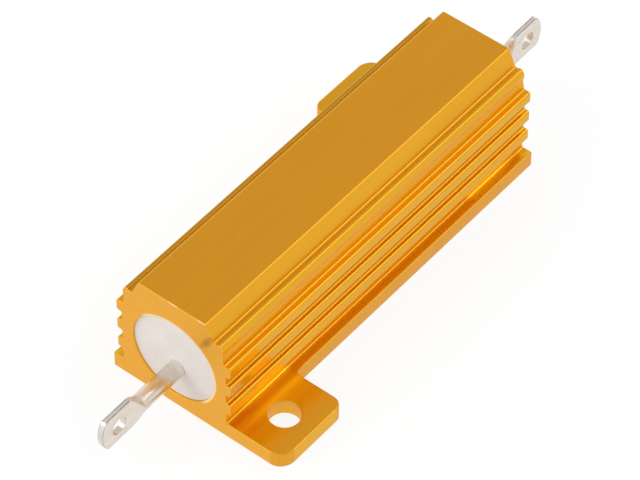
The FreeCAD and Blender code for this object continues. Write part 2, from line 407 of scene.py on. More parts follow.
def housing_skin(cut_rounding):
    """One half of the housing's skin and its twin, with every cut edge rounded a little.

    A cut edge is a quarter circle. Its point at an angle t lies r (1 - cos t) within the
    outline and r (1 - sin t) below the face. The plate's rolled edge is a quarter ellipse.
    """
    skin = Skin()
    near_y = -HALF_LENGTH
    foot_y = HALF_LENGTH - FOOT_LENGTH
    foot_start = FLANGE_HALF_WIDTH - FOOT_CORNER_RADIUS
    strip_end = STRIP_HALF_WIDTH - SIDE_TURN
    station = foot_y - FOOT_ROOT_RADIUS

    right = section_corners()
    left = [(-x, z, radius) for x, z, radius in reversed(right[:-1])]
    section, outward = rounded_path([
        (foot_start, BASE_THICKNESS, 0.0), *right, *left, (-strip_end, BASE_THICKNESS, 0.0)])
    middle = int(np.argmin(np.abs(section[:, 0])))
    edge_y = near_y + cut_rounding

    # The ribbed side and half of the top: the section's right side carried along Y
    stations = np.array([edge_y, -station, station, -edge_y])
    shape = (len(stations), middle, 2)
    side = np.broadcast_to(section[1:middle + 1], shape)
    facing = np.broadcast_to(outward[1:middle + 1], shape)
    skin.grid(raised(side, stations[:, None], ON_XZ), raised(facing, 0.0, ON_XZ), EXTRUDED)

    # The near end's edge: the section, drawn in as it goes out
    drawn_in = cut_rounding * (1 - np.cos(QUARTER))[:, None, None]
    end_y = near_y + cut_rounding * (1 - np.sin(QUARTER))[:, None]
    floor_line = np.array([[-strip_end, 0.0], [foot_start, 0.0]])
    floor_outward = np.array([[0.0, -1.0], [0.0, -1.0]])
    last_rings = []
    for line, line_outward in ((section, outward), (floor_line, floor_outward)):
        rings = raised(line - line_outward * drawn_in, end_y, ON_XZ)
        facing = line_outward * np.cos(QUARTER)[:, None, None]
        skin.grid(rings, raised(facing, -np.sin(QUARTER)[:, None], ON_XZ), SAWN)
        last_rings.append(rings[-1])

    # The near end's face, round the mouth of the bore
    bore_mouth = raised(circle((0.0, BORE_Z), BORE_RADIUS + BORE_MOUTH, BORE_COUNT), near_y, ON_XZ)
    skin.flat_with_hole(np.concatenate(last_rings), bore_mouth, -Y_AXIS, SAWN)

    # The plate's wall: a rounded edge, a straight wall and a rounded edge carried round the plan
    plan, plan_outward = rounded_path([
        (foot_start, near_y, 0.0),
        (FLANGE_HALF_WIDTH, near_y, FOOT_CORNER_RADIUS),
        (FLANGE_HALF_WIDTH, -foot_y, FOOT_INNER_RADIUS),
        (STRIP_HALF_WIDTH, -foot_y, FOOT_ROOT_RADIUS),
        (STRIP_HALF_WIDTH, -foot_y + FOOT_ROOT_RADIUS + ROLL_FADE, 0.0),
        (STRIP_HALF_WIDTH, 0.0, 0.0),
        (STRIP_HALF_WIDTH, HALF_LENGTH - ROLL_FADE, 0.0),
        (STRIP_HALF_WIDTH, HALF_LENGTH, SIDE_TURN),
        (strip_end, HALF_LENGTH, 0.0),
    ])
    plan, plan_outward = plan[1:], plan_outward[1:]
    at_side = smooth((plan[:, 0] - FLANGE_HALF_WIDTH + SIDE_FADE) / SIDE_FADE)
    rounding = (cut_rounding + (EDGE_RADIUS - cut_rounding) * at_side)[None, :]
    swing = np.concatenate([-QUARTER[::-1], QUARTER])[:, None]
    upper = np.arange(len(swing))[:, None] >= len(QUARTER)
    rolled = smooth((plan[:, 1] + foot_y - FOOT_ROOT_RADIUS) / ROLL_FADE)
    rolled = rolled * smooth((HALF_LENGTH - SIDE_TURN - plan[:, 1]) / ROLL_FADE)
    width = rounding + upper * (ROLL_WIDTH - rounding) * rolled
    depth = rounding + upper * (ROLL_DEPTH - rounding) * rolled
    drawn_in = (width * (1 - np.cos(swing)))[..., None]
    height = depth * (1 + np.sin(swing)) + upper * (BASE_THICKNESS - 2 * depth)
    wall = raised(plan - plan_outward * drawn_in, height, ON_XY)
    facing = plan_outward * (depth * np.cos(swing))[..., None]
    facing = raised(facing, width * np.sin(swing), ON_XY)
    foot_side = np.flatnonzero(np.isclose(plan_outward[:, 0], 1.0) & (plan[:, 0] > foot_start))
    first, last = int(foot_side[0]), int(foot_side[-1])
    skin.grid(wall[:, :first + 1], facing[:, :first + 1], PUNCHED)
    skin.grid(wall[:, first:last + 1], facing[:, first:last + 1], EXTRUDED)
    skin.grid(wall[:, last:], facing[:, last:], PUNCHED)

    # The plate's top, and the near half of its underside, round the foot's hole
    inner_x = section[1, 0]
    inner = np.array([(inner_x, y) for y in stations[::-1]])
    hole = circle((HOLE_X, -HOLE_Y), HOLE_RADIUS + HOLE_MOUTH, HOLE_COUNT)
    top = np.concatenate([wall[-1, :, :2], inner])
    skin.flat_with_hole(raised(top, BASE_THICKNESS, ON_XY),
                        raised(hole, BASE_THICKNESS, ON_XY), Z_AXIS, EXTRUDED)
    lower = wall[0, :, :2]
    half_way = int(np.argmin(np.abs(lower[:, 1])))
    under = np.concatenate([lower[:half_way + 1], -lower[half_way:]])
    skin.flat_with_hole(raised(under, 0.0, ON_XY), raised(hole, 0.0, ON_XY), -Z_AXIS, EXTRUDED)

    # The bore's near half and the foot's hole
    rows = np.concatenate([mouth_rows(BORE_RADIUS, BORE_MOUTH, near_y, 1.0),
                           [[BORE_RADIUS, 0.0, -1.0, 0.0]]])
    revolved(skin, rows, (0.0, 0.0, BORE_Z), Y_AXIS, BORE_COUNT, DRILLED)
    rows = through_rows(HOLE_RADIUS, HOLE_MOUTH, 0.0, BASE_THICKNESS)
    revolved(skin, rows, (HOLE_X, -HOLE_Y, 0.0), Z_AXIS, HOLE_COUNT, DRILLED)
    skin.turn_twin()
    return skin


def grid_normals(points, outward):
    """The cross product of a grid's two differences, turned towards a given direction."""
    wrapped = np.concatenate([points[:, -2:-1], points, points[:, 1:2]], axis=1)
    along = np.gradient(points, axis=0)
    around = (wrapped[:, 2:] - wrapped[:, :-2]) / 2
    normals = unit(np.cross(along, around))
    return normals * np.sign((normals * outward).sum(axis=-1, keepdims=True))


def cement_skin(creep_up_lead, creep_up_bore):
    """The potting: a plug with a dished face at each end and the element's room inside it.

    A face is ruled from the lead to the bore. It rises at each of them by its creep times
    exp of less the distance over the reach, and by a sine of X times a cosine of Z.
    """
    skin = Skin()
    spoke = full_turn(BORE_COUNT)
    share = (0.5 - 0.5 * np.cos(np.linspace(0.0, math.pi, POTTING_COUNT)))[:, None]
    rims, mouths = [], []
    for end in (-1.0, 1.0):
        face_y = end * (HALF_LENGTH - CEMENT_RECESS)
        axis_x, axis_z = settled(np.array([0.0, face_y, BORE_Z]))[::2]
        lead = (axis_x, axis_z) + (LEAD_RADIUS + POTTING_GAP) * spoke
        bore = (0.0, BORE_Z) + PLUG_RADIUS * spoke
        flat = lead + share[..., None] * (bore - lead)
        width = np.linalg.norm(bore - lead, axis=1)
        rise = creep_up_lead * np.exp(-share * width / REACH_ON_LEAD)
        rise += creep_up_bore * np.exp(-(1 - share) * width / REACH_IN_BORE)
        waves = np.sin(WAVE_X * flat[..., 0] + 0.7 * end) * np.cos(WAVE_Z * flat[..., 1] + 0.4)
        rise += WAVE_HEIGHT * waves * np.sin(math.pi * share)
        face = raised(flat, face_y + end * rise, ON_XZ)
        skin.grid(face, grid_normals(face, end * Y_AXIS))
        mouths.append(face[0])
        rims.append(face[-1])
    spokes = raised(spoke, 0.0, ON_XZ)
    skin.grid(np.stack(rims), np.stack([spokes, spokes]))

    gap = POTTING_GAP
    room = [
        (LEAD_RADIUS + gap, -CAP_END_Y - gap),
        (CAP_RADIUS + gap, -CAP_END_Y - gap),
        (CAP_RADIUS + gap, -CAP_RIM_Y + gap),
        (WINDING_RADIUS + gap, -CAP_RIM_Y + gap),
    ]
    room += [(radius, -y) for radius, y in reversed(room)]
    rings = [settled(np.array([0.0, y, BORE_Z]) + radius * spokes) for radius, y in room]
    rings = [mouths[0]] + rings + [mouths[1]]
    for number, (low, high) in enumerate(zip(rings[:-1], rings[1:])):
        facing = -spokes
        if number % 2 == 1:
            step = 1.0 if room[number - 1][1] < 0 else -1.0
            facing = np.broadcast_to(step * Y_AXIS, spokes.shape)
        skin.grid(np.stack([low, high]), np.stack([facing, facing]))
    return skin


def lug_sizes(y):
    """Half thickness, half width and corner radius of the lug's section, and their slopes.

    They go from the lead's radius to the blade's sizes by smoothstep of the way between them.
    """
    def at(place):
        pressed = smooth((place - LEAD_END_Y) / (BLADE_Y - LEAD_END_Y))
        spread = smooth((place - SPREAD_START_Y) / (BLADE_Y - SPREAD_START_Y))
        thick = LEAD_RADIUS + (BLADE_HALF_THICKNESS - LEAD_RADIUS) * pressed
        wide = LEAD_RADIUS + (BLADE_HALF_WIDTH - LEAD_RADIUS) * spread
        corner = thick - (BLADE_HALF_THICKNESS - BLADE_EDGE_RADIUS) * pressed
        return np.stack([thick, wide, corner])

    step = 1e-4
    return at(y), (at(y + step) - at(y - step)) / (2 * step)


def lug_skin():
    """The far lug before it sank: a round lead, pressed flat into a blade with an eye.

    Its section at each Y is a rectangle with round corners: the middle of a corner, plus the
    corner's radius times the cosine and the sine of the angle round it.
    """
    skin = Skin()
    pressed_y = np.linspace(PRESSED_START_Y, BLADE_Y, PRESSED_COUNT)
    y = np.concatenate([LEAD_STATIONS, pressed_y])[:, None]
    (thick, wide, corner), (thick_slope, wide_slope, corner_slope) = lug_sizes(y)
    turn = np.concatenate([quarter * math.pi / 2 + QUARTER for quarter in range(4)] + [[0.0]])
    side_x = np.append(np.repeat([1, -1, -1, 1], len(QUARTER)), 1)
    side_z = np.append(np.repeat([1, 1, -1, -1], len(QUARTER)), 1)
    cos, sin = np.cos(turn), np.sin(turn)
    x = side_x * (thick - corner) + corner * cos
    z = side_z * (wide - corner) + corner * sin
    growth = side_x * cos * (thick_slope - corner_slope) + side_z * sin * (wide_slope - corner_slope)
    ring = np.stack(np.broadcast_arrays(x, y, BORE_Z + z), axis=-1)
    facing = np.stack(np.broadcast_arrays(cos, -growth - corner_slope, sin), axis=-1)
    skin.grid(ring, unit(facing))
    skin.flat(ring[0, :-1], -Y_AXIS)

    # The blade's rim: half of its section carried round its plan, sharper at the sheared end
    end_radius = (BLADE_HALF_WIDTH ** 2 + BLADE_END_RISE ** 2) / (2 * BLADE_END_RISE)
    end_centre = LUG_END_Y - end_radius
    corner_z = BLADE_HALF_WIDTH - BLADE_CORNER_RADIUS
    corner_y = math.sqrt((end_radius - BLADE_CORNER_RADIUS) ** 2 - corner_z ** 2)
    slant = math.atan2(corner_z, corner_y)
    side_y = np.linspace(BLADE_Y, end_centre + corner_y, BLADE_SIDE_COUNT + 1)[:-1]
    straight = np.full(BLADE_SIDE_COUNT, -math.pi / 2)
    round_corner = np.linspace(-math.pi / 2, -slant, BLADE_CORNER_COUNT)
    round_end = np.linspace(-slant, slant, BLADE_END_COUNT + 2)[1:-1]
    heading = np.concatenate([straight, round_corner, round_end])
    outward = directions(heading)
    lower = outward.copy()
    mirrored = BLADE_SIDE_COUNT + BLADE_CORNER_COUNT
    lower[:BLADE_SIDE_COUNT] = np.stack([side_y, np.full(len(side_y), -BLADE_HALF_WIDTH)], axis=1)
    lower[BLADE_SIDE_COUNT:mirrored] *= BLADE_CORNER_RADIUS
    lower[BLADE_SIDE_COUNT:mirrored] += (end_centre + corner_y, -corner_z)
    lower[mirrored:] *= end_radius
    lower[mirrored:] += (end_centre, 0.0)
    across = np.array([1.0, -1.0])
    plan = np.concatenate([lower, lower[:mirrored][::-1] * across])
    outward = np.concatenate([outward, outward[:mirrored][::-1] * across])
    sheared = smooth((plan[:, 0] - end_centre - corner_y) / SHEARED_FADE)[None]
    rounding = BLADE_EDGE_RADIUS + (SHEARED_EDGE_RADIUS - BLADE_EDGE_RADIUS) * sheared
    swing = np.concatenate([QUARTER - math.pi / 2, QUARTER])[:, None]
    inset = plan - outward * (rounding * (1 - np.cos(swing)))[..., None]
    inner_x = np.where(np.arange(len(swing)) < len(QUARTER), -1, 1)[:, None]
    x = inner_x * (BLADE_HALF_THICKNESS - rounding) + rounding * np.sin(swing)
    rim = raised(inset, x, ON_YZ) + BORE_Z * Z_AXIS
    rim_facing = raised(outward * np.cos(swing)[..., None], np.sin(swing), ON_YZ)
    # The rounded bands next to the rim's wall take the darkened tin: painted shade along the blade's
    # edges.
    bands = ((0, 3, TINNED), (3, 5, DARK_EDGE), (5, 6, TINNED), (6, 8, DARK_EDGE), (8, 11, TINNED))
    for low, high, finish in bands:
        skin.grid(rim[low:high + 1], rim_facing[low:high + 1], finish)

    # The blade's two faces, round the eye
    for row, side in ((0, -1.0), (-1, 1.0)):
        mouth = circle((EYE_Y, BORE_Z), EYE_RADIUS + EYE_MOUTH, EYE_COUNT)
        mouth = raised(mouth, side * BLADE_HALF_THICKNESS, ON_YZ)
        skin.flat_with_hole(rim[row], mouth, side * X_AXIS)
    rows = through_rows(EYE_RADIUS, EYE_MOUTH, -BLADE_HALF_THICKNESS, BLADE_HALF_THICKNESS)
    revolved(skin, rows, (0.0, EYE_Y, BORE_Z), X_AXIS, EYE_COUNT)
    return skin


class Nodes:
    """A node tree under construction: its nodes are made and joined with short calls."""

    def __init__(self, owner):
        owner.use_nodes = True
        self.tree = owner.node_tree

    def node(self, kind, inputs, **settings):
        """A node with its settings and with values or links on its named inputs."""
        node = self.tree.nodes.new(kind)
        for name, value in settings.items():
            setattr(node, name, value)
        for socket, value in inputs.items():
            self.feed(node.inputs[socket], value)
        return node

    def feed(self, socket, value):
        if isinstance(value, bpy.types.NodeSocket):
            self.tree.links.new(value, socket)
        else:
            socket.default_value = value

    def sums(self, operation, *values):
        inputs = dict(enumerate(values))
        return self.node("ShaderNodeMath", inputs, operation=operation).outputs[0]

    def product(self, total, *factors):
        for factor in factors:
            total = self.sums("MULTIPLY", total, factor)
        return total

    def spread(self, value, low, high, to_low=0.0, to_high=1.0):
        """The part of a value between two levels, drawn out smoothly between two others."""
        return self.node("ShaderNodeMapRange", {
            "Value": value, "From Min": low, "From Max": high, "To Min": to_low, "To Max": to_high,
        }, interpolation_type="SMOOTHSTEP").outputs[0]

    def chosen(self, unseen, seen, output):
        """Takes the second shader for rays that show it straight, reflected or through glass."""
        path = self.node("ShaderNodeLightPath", {}).outputs
        shows = path["Is Camera Ray"]
        for name in ("Is Glossy Ray", "Is Transmission Ray"):
            shows = self.sums("MAXIMUM", shows, path[name])
        choice = self.node("ShaderNodeMixShader", {
            0: shows, 1: unseen.outputs[0], 2: seen.outputs[0]})
        self.node(output, {0: choice.outputs[0]})


class Finish(Nodes):
    """A material under construction, with the patterns and masks that it is made of."""

    def __init__(self, name):
        self.material = bpy.data.materials.new(name)
        super().__init__(self.material)
        self.shader = self.tree.nodes["Principled BSDF"]
        self.place = self.tree.nodes.new("ShaderNodeTexCoord").outputs["Object"]

    def noise(self, cells, detail=3.0, roughness=0.6, shift=(0.0, 0.0, 0.0), lean=0.0):
        """Noise with so many cells to the metre, each way or along X, Y and Z."""
        mapping = self.node("ShaderNodeMapping", {
            "Vector": self.place, "Location": shift, "Rotation": (0.0, lean, 0.0),
            "Scale": cells if isinstance(cells, tuple) else (cells, cells, cells),
        })
        return self.node("ShaderNodeTexNoise", {
            "Vector": mapping.outputs[0], "Scale": 1.0, "Detail": detail, "Roughness": roughness,
        }).outputs[0]

    def blend(self, first, first_share, second, second_share):
        """Two patterns added, each by its share."""
        return self.sums("ADD", self.product(first, first_share), self.product(second, second_share))

    def axis(self, number):
        """How far a point lies along X, Y or Z."""
        return self.node("ShaderNodeSeparateXYZ", {0: self.place}).outputs[number]

    def away(self, number):
        """How far a point lies from the middle along X or Y, on either side."""
        return self.sums("ABSOLUTE", self.axis(number))

    def mask(self, distance, levels, to_low=0.0, to_high=1.0):
        """A distance spread between two levels that are given in millimetres."""
        return self.spread(distance, levels[0] * MM, levels[1] * MM, to_low, to_high)

    def shares(self, middle, reach, lean=0.0):
        """How far a point lies from a middle, as a share of an ellipsoid leaned about Y."""
        mapping = self.node("ShaderNodeMapping", {
            "Vector": self.place, "Location": Vector(middle) * MM, "Rotation": (0.0, lean, 0.0),
            "Scale": Vector(reach) * MM,
        }, vector_type="TEXTURE")
        length = self.node("ShaderNodeVectorMath", {0: mapping.outputs[0]}, operation="LENGTH")
        return length.outputs["Value"]

    def upper_right(self):
        """1 on the upper right of the bore's rim, where painted highlights go, 0 across from there."""
        return self.mask(self.sums("ADD", self.axis(0), self.axis(2)), UPPER_RIGHT_SUM)

    def mixed(self, factor, first, second):
        """A colour between two, by a factor."""
        node = self.tree.nodes.new("ShaderNodeMix")
        node.data_type = "RGBA"
        self.feed(node.inputs[0], factor)
        for socket, colour in ((6, first), (7, second)):
            linked = isinstance(colour, bpy.types.NodeSocket)
            self.feed(node.inputs[socket], colour if linked else (*colour, 1.0))
        return node.outputs[2]

    def mottled(self, tone, colour, darker, lighter, low=0.3, high=0.7):
        """A colour made darker or lighter by shares of itself, as a pattern says."""
        return self.mixed(self.spread(tone, low, high), tinted(colour, darker), tinted(colour, lighter))

    def colour(self, socket):
        self.feed(self.shader.inputs["Base Color"], socket)

    def surface(self, pattern, share, least, height, depth):
        """Joins the roughness, least and a pattern's share, and a bump of a depth in millimetres."""
        self.feed(self.shader.inputs["Roughness"], self.sums("MULTIPLY_ADD", pattern, share, least))
        bump = self.node("ShaderNodeBump", {"Height": height, "Strength": 1.0, "Distance": depth * MM})
        self.feed(self.shader.inputs["Normal"], bump.outputs[0])

    def metal(self, edge=(1.0, 1.0, 1.0), coat=0.0, coat_roughness=0.03):
        """A metal with its colour at grazing angles and the clear oxide that lies on it."""
        self.shader.inputs["Metallic"].default_value = 1.0
        self.shader.inputs["Specular Tint"].default_value = (*edge, 1.0)
        self.shader.inputs["Coat Weight"].default_value = coat
        self.shader.inputs["Coat Roughness"].default_value = coat_roughness
        return self.material


def tinted(colour, share):
    """A colour made darker or lighter by a share of itself."""
    return tuple(min(1.0, part * share) for part in colour)


# Where tones, painted light and painted shade change, in millimetres: the level where a mask is 0 and
# the one where it is 1
TOP_SHADE_Z = (BODY_HEIGHT - 0.15, BODY_HEIGHT - 0.04)
SHADED_LEDGE_X = (-5.1, -5.5)
SHADED_LEDGE_Z = (12.9, 13.3)
PLATE_TOP_Z = (2.3, 2.1)
FOOT_X = (11.2, 8.0)
FOOT_BACK_Y = (14.8, 15.8)
FOOT_FRONT_Y = (24.0, 20.0)
STRIP_INNER_X = (7.2, 8.0)
STRIP_OUTER_X = (8.4, 8.3)
LIP_RADII = (5.72, 5.62)
UPPER_RIGHT_SUM = (6.0, 8.0)
BORE_MOUTH_Y = (24.87, 24.92)
SMEAR_Y = (26.6, 25.6)
PRESSED_Y = (29.4, 30.4)

# Marks on the near end's face, a stain and painted highlights: the middle and the reach of each, in
# millimetres
STAIN = (4.6, -25.0, 13.0), (0.6, 1.0, 2.1)
STAIN_LEAN = math.radians(33.0)
GLINT_LEFT = (0.1, -25.0, 15.5), (0.8, 0.22, 0.2)
GLINT_RIGHT = (3.9, -25.0, 15.5), (0.7, 0.22, 0.2)
BORE_LIP = (0.0, 0.0, BORE_Z), (1.0, 1000.0, 1.0)


def extruded_gold(finish):
    """Anodised skin as it left the die: satin, with faint lines along Y.

    Painted light pales the tops of the feet and base strip, painted shade darkens the ledge beside the
    left slant, and the top face gets an oranger gold as painted shade.
    """
    made = Finish("gold_extruded")
    lines = made.noise((5200.0, 45.0, 5200.0), 4.0, 0.6)
    fine = made.noise((21000.0, 210.0, 21000.0), 2.0, 0.5)
    etch = made.noise(16000.0, 2.0, 0.6)
    cloud = made.noise((180.0, 60.0, 180.0), 3.0, 0.5)
    tone = made.sums("MULTIPLY_ADD", etch, 0.4, made.blend(lines, 0.35, cloud, 0.25))
    # Painted shade: the top face takes an oranger gold that stands for the dimmer light it reflects.
    top = made.mask(made.axis(2), TOP_SHADE_Z)
    dark, light = (made.mixed(top, tinted(finish.gold, share), tinted(finish.top_shade_gold, share))
                   for share in (0.93, 1.05))
    body = made.mixed(made.spread(tone, 0.3, 0.7), dark, light)
    # Painted shade: the ledge beside the left slant is darkened to 0.72 of the gold.
    ledge = made.product(made.mask(made.axis(0), SHADED_LEDGE_X), made.mask(made.axis(2), SHADED_LEDGE_Z))
    body = made.mixed(ledge, body, tinted(finish.gold, 0.72))
    across = made.away(0)
    along = made.away(1)
    # Painted light: the tops of the feet and of the base strip's outer edge are lifted to a paler gold.
    foot = made.product(made.mask(across, FOOT_X), made.mask(along, FOOT_BACK_Y),
                        made.mask(along, FOOT_FRONT_Y))
    strip = made.product(made.mask(across, STRIP_INNER_X, 0.0, 0.75), made.mask(across, STRIP_OUTER_X))
    pale = made.product(made.mask(made.axis(2), PLATE_TOP_Z), made.sums("MAXIMUM", foot, strip))
    made.colour(made.mixed(pale, body, finish.foot_light_gold))
    height = made.sums("MULTIPLY_ADD", etch, 0.25, made.blend(lines, 0.5, fine, 0.25))
    made.surface(lines, 0.10, finish.gold_roughness - 0.05, height, 0.0014)
    return made.metal((1.0, 0.88, 0.4), 0.5, 0.12)


def sawn_gold(finish):
    """Anodised saw cut: matt, with the blade's fine marks.

    It has a dull stain, and pale cream painted as highlights on two spots of its top edge and on the
    upper right of the bore's mouth.
    """
    made = Finish("gold_sawn")
    marks = made.noise((900.0, 900.0, 9000.0), lean=math.radians(28.0))
    grain = made.noise(11000.0, 2.0, 0.6)
    tone = made.blend(marks, 0.6, grain, 0.4)
    clean = made.mottled(tone, finish.sawn_gold, 0.955, 1.04)
    speckle = made.noise(2400.0, shift=(3.0, 0.0, 1.0))
    stain = made.spread(made.shares(*STAIN, STAIN_LEAN), 1.0, 0.3)
    stain = made.product(stain, made.spread(speckle, 0.3, 0.6, 0.5, 0.9))
    # Painted highlights: two pale spots on the near top edge, broken up by speckle.
    spots = [made.spread(made.shares(*spot), 1.0, 0.5) for spot in (GLINT_LEFT, GLINT_RIGHT)]
    glints = made.product(made.sums("MAXIMUM", *spots), made.spread(speckle, 0.3, 0.6, 0.2, 0.6))
    # Painted highlight: the upper right of the bore's mouth turns pale cream.
    mouth_glint = made.product(made.spread(made.shares(*BORE_LIP), *LIP_RADII), made.upper_right())
    glints = made.sums("MAXIMUM", glints, made.product(mouth_glint, 0.8))
    clean = made.mixed(glints, clean, finish.edge_glint)
    made.colour(made.mixed(stain, clean, finish.stain))
    made.surface(grain, 0.12, finish.cut_roughness - 0.06, tone, 0.008)
    return made.metal()


def punched_gold(finish):
    """Anodised wall left by the punch, with upright tear marks."""
    made = Finish("gold_punched")
    tears = made.noise((4200.0, 4200.0, 260.0))
    grain = made.noise(9000.0, 2.0, 0.5)
    tone = made.blend(tears, 0.7, grain, 0.3)
    made.colour(made.mottled(tone, finish.punched_gold, 0.95, 1.06))
    made.surface(tears, 0.12, finish.cut_roughness - 0.12, tone, 0.01)
    return made.metal()


def drilled_gold(finish):
    """Anodised drilled wall: fine marks across the tool's way, and pale cream painted as a highlight on
    the upper right of its mouth.
    """
    made = Finish("gold_drilled")
    rings = made.noise((700.0, 700.0, 14000.0), 2.0, 0.5)
    grain = made.noise(8000.0, 2.0, 0.5)
    # Painted highlight: the drilled mouth's upper right turns pale cream.
    rim = made.product(made.mask(made.away(1), BORE_MOUTH_Y), made.upper_right())
    made.colour(made.mixed(rim, made.mottled(grain, finish.sawn_gold, 0.95, 1.05), finish.edge_glint))
    made.surface(grain, 0.1, finish.cut_roughness - 0.1, made.sums("ADD", rings, grain), 0.008)
    return made.metal()


def potting(finish):
    """Silicone cement: off-white, nearly smooth, with a fine grain and a faint mottle."""
    made = Finish("cement_cast")
    mottle = made.noise(420.0, 4.0, 0.55)
    tone = made.blend(mottle, 0.65, made.noise(5200.0), 0.35)
    made.colour(made.mottled(tone, finish.cement, 0.955, 1.03, 0.32, 0.68))
    made.surface(mottle, 0.15, 0.5, tone, 0.02)
    return made.material


def tin(finish):
    """Hot tinned metal: bright, with soft runs, small grey specks and cement smeared on it."""
    made = Finish("tin_dipped")
    runs = made.noise((900.0, 420.0, 900.0), 3.0, 0.5)
    crystals = made.noise((4200.0, 3000.0, 4200.0), 3.0, 0.65)
    specks = made.spread(made.noise(2600.0, 2.0, 0.7), 0.62, 0.74)
    body = made.mixed(specks, made.mottled(runs, finish.tin, 0.94, 1.03), tinted(finish.tin, 0.72))
    along = made.away(1)
    smear = made.mask(made.sums("MULTIPLY_ADD", runs, 1.6 * MM, along), SMEAR_Y, 0.0, 0.85)
    made.colour(made.mixed(smear, body, tinted(finish.cement, 0.93)))
    rough = made.sums("MULTIPLY_ADD", crystals, 0.16, made.mask(along, PRESSED_Y, 0.12, 0.27))
    made.surface(smear, 0.4, rough, made.sums("MULTIPLY_ADD", crystals, 0.25, runs), 0.005)
    made.feed(made.shader.inputs["Metallic"], made.sums("SUBTRACT", 1.0, smear))
    return made.material


def tin_shaded_edge(finish):
    """Tin on the blade's rounded edges, dull, and darkened as painted shade for the dark reflections
    there.
    """
    made = Finish("tin_painted_shade")
    blotches = made.noise((3000.0, 1500.0, 3000.0))
    made.colour(made.mottled(blotches, finish.tin, 0.4, 0.65, 0.35, 0.65))
    made.surface(blotches, 0.2, 0.35, blotches, 0.005)
    return made.metal()


def ceramic():
    """Fired steatite: warm white with a fine dry grain."""
    made = Finish("ceramic_fired")
    grain = made.noise(6000.0)
    made.colour(made.mixed(made.spread(grain, 0.3, 0.7), (0.66, 0.62, 0.54), (0.76, 0.73, 0.66)))
    made.surface(grain, 0.2, 0.55, grain, 0.01)
    return made.material


def alloy():
    """Drawn resistance ribbon: grey with a brown cast and lines along the rod."""
    made = Finish("alloy_drawn")
    lines = made.noise((12000.0, 900.0, 12000.0))
    cast = made.spread(made.noise(300.0, 2.0, 0.5), 0.35, 0.65)
    made.colour(made.mixed(cast, (0.30, 0.27, 0.24), (0.40, 0.37, 0.34)))
    made.surface(lines, 0.2, 0.25, lines, 0.004)
    return made.metal()


def cap_steel():
    """Plated pressed steel: pale grey with draw marks along the cup's depth."""
    made = Finish("steel_plated")
    draw = made.noise((7000.0, 700.0, 7000.0))
    made.colour(made.mixed(made.spread(draw, 0.3, 0.7), (0.50, 0.49, 0.46), (0.60, 0.59, 0.56)))
    made.surface(draw, 0.15, 0.22, draw, 0.006)
    return made.metal()


def tone_of(name, description, default):
    """A colour that the panel lists."""
    return FloatVectorProperty(name=name, description=description, subtype="COLOR",
                               size=3, min=0.0, max=1.0, default=default)


class ResistorFinish(bpy.types.PropertyGroup):
    gold: tone_of("Gold", "Anodised colour of the extruded skin", (0.80, 0.385, 0.002))
    # Painted shade: an oranger gold for the top face, standing for its dimmer light.
    top_shade_gold: tone_of("Top shade gold", "Oranger gold painted on the top face as shade", (0.80, 0.34, 0.004))
    # Painted highlight: pale cream put on the near top edge and on the bore's mouth.
    edge_glint: tone_of("Painted edge glint", "Pale cream painted on edges as a highlight", (1.0, 0.80, 0.46))
    # Painted light: a paler gold for the tops of the feet and of the base strip.
    foot_light_gold: tone_of("Foot light gold", "Paler gold painted on the tops of the feet and strip as light", (1.0, 0.64, 0.01))
    sawn_gold: tone_of("Cut gold", "Anodised colour of sawn and drilled metal", (0.87, 0.438, 0.045))
    punched_gold: tone_of("Punched gold", "Anodised colour of the punched walls", (0.78, 0.365, 0.028))
    stain: tone_of("Stain", "Mark between the bore and the shoulder", (0.56, 0.25, 0.03))
    cement: tone_of("Cement", "Colour of the potting", (0.93, 0.87, 0.82))
    tin: tone_of("Tin", "Colour of the tinned lugs", (0.77, 0.71, 0.64))
    gold_roughness: FloatProperty(
        name="Skin roughness", description="How satin the extruded skin is",
        subtype="FACTOR", min=0.05, max=1.0, default=0.33)
    cut_roughness: FloatProperty(
        name="Cut roughness", description="How matt the cut faces are",
        subtype="FACTOR", min=0.05, max=1.0, default=0.5)


class ResistorShape(bpy.types.PropertyGroup):
    cut_rounding: FloatProperty(
        name="Cut edges", description="Rounding left on sawn and punched edges by the finishing",
        unit="LENGTH", precision=5, min=0.00002, max=0.00011, default=0.0001)
    creep_up_lead: FloatProperty(
        name="Creep on lead", description="How far the cement climbs the lead",
        unit="LENGTH", precision=5, min=0.0, max=0.0003, default=0.00016)
    creep_up_bore: FloatProperty(
        name="Creep in bore", description="How far the cement climbs the bore's wall",
        unit="LENGTH", precision=5, min=0.0, max=0.0003, default=0.00012)


class ResistorStage(bpy.types.PropertyGroup):
    azimuth: FloatProperty(
        name="Azimuth", description="How far the camera stands round from -Y towards +X",
        unit="ROTATION", default=math.radians(38.6))
    elevation: FloatProperty(
        name="Elevation", description="How far the camera stands above the floor",
        unit="ROTATION", default=math.radians(48.06))
    roll: FloatProperty(
        name="Roll", description="How far the camera leans", unit="ROTATION",
        default=math.radians(0.496))
    distance: FloatProperty(
        name="Distance", description="From the camera to the middle of the part",
        unit="LENGTH", min=0.1, default=0.41566)
    lens: FloatProperty(
        name="Lens", description="Focal length", unit="CAMERA", min=10.0, default=222.97)
    key_power: FloatProperty(
        name="Key lamp", description="Power of the lamp behind and to the right",
        unit="POWER", min=0.0, default=0.62)
    fill_power: FloatProperty(
        name="Fill lamp", description="Power of the lamp in front and to the left",
        unit="POWER", min=0.0, default=1.2)
    sky: FloatProperty(
        name="Room light", description="Strength of the even light from the room",
        min=0.0, default=0.75)
    overhead: FloatProperty(
        name="Overhead", description="How bright the room is overhead, as reflections show it",
        min=0.0, default=0.74)


def settings():
    scene = bpy.context.scene
    return scene.resistor_finish, scene.resistor_shape, scene.resistor_stage


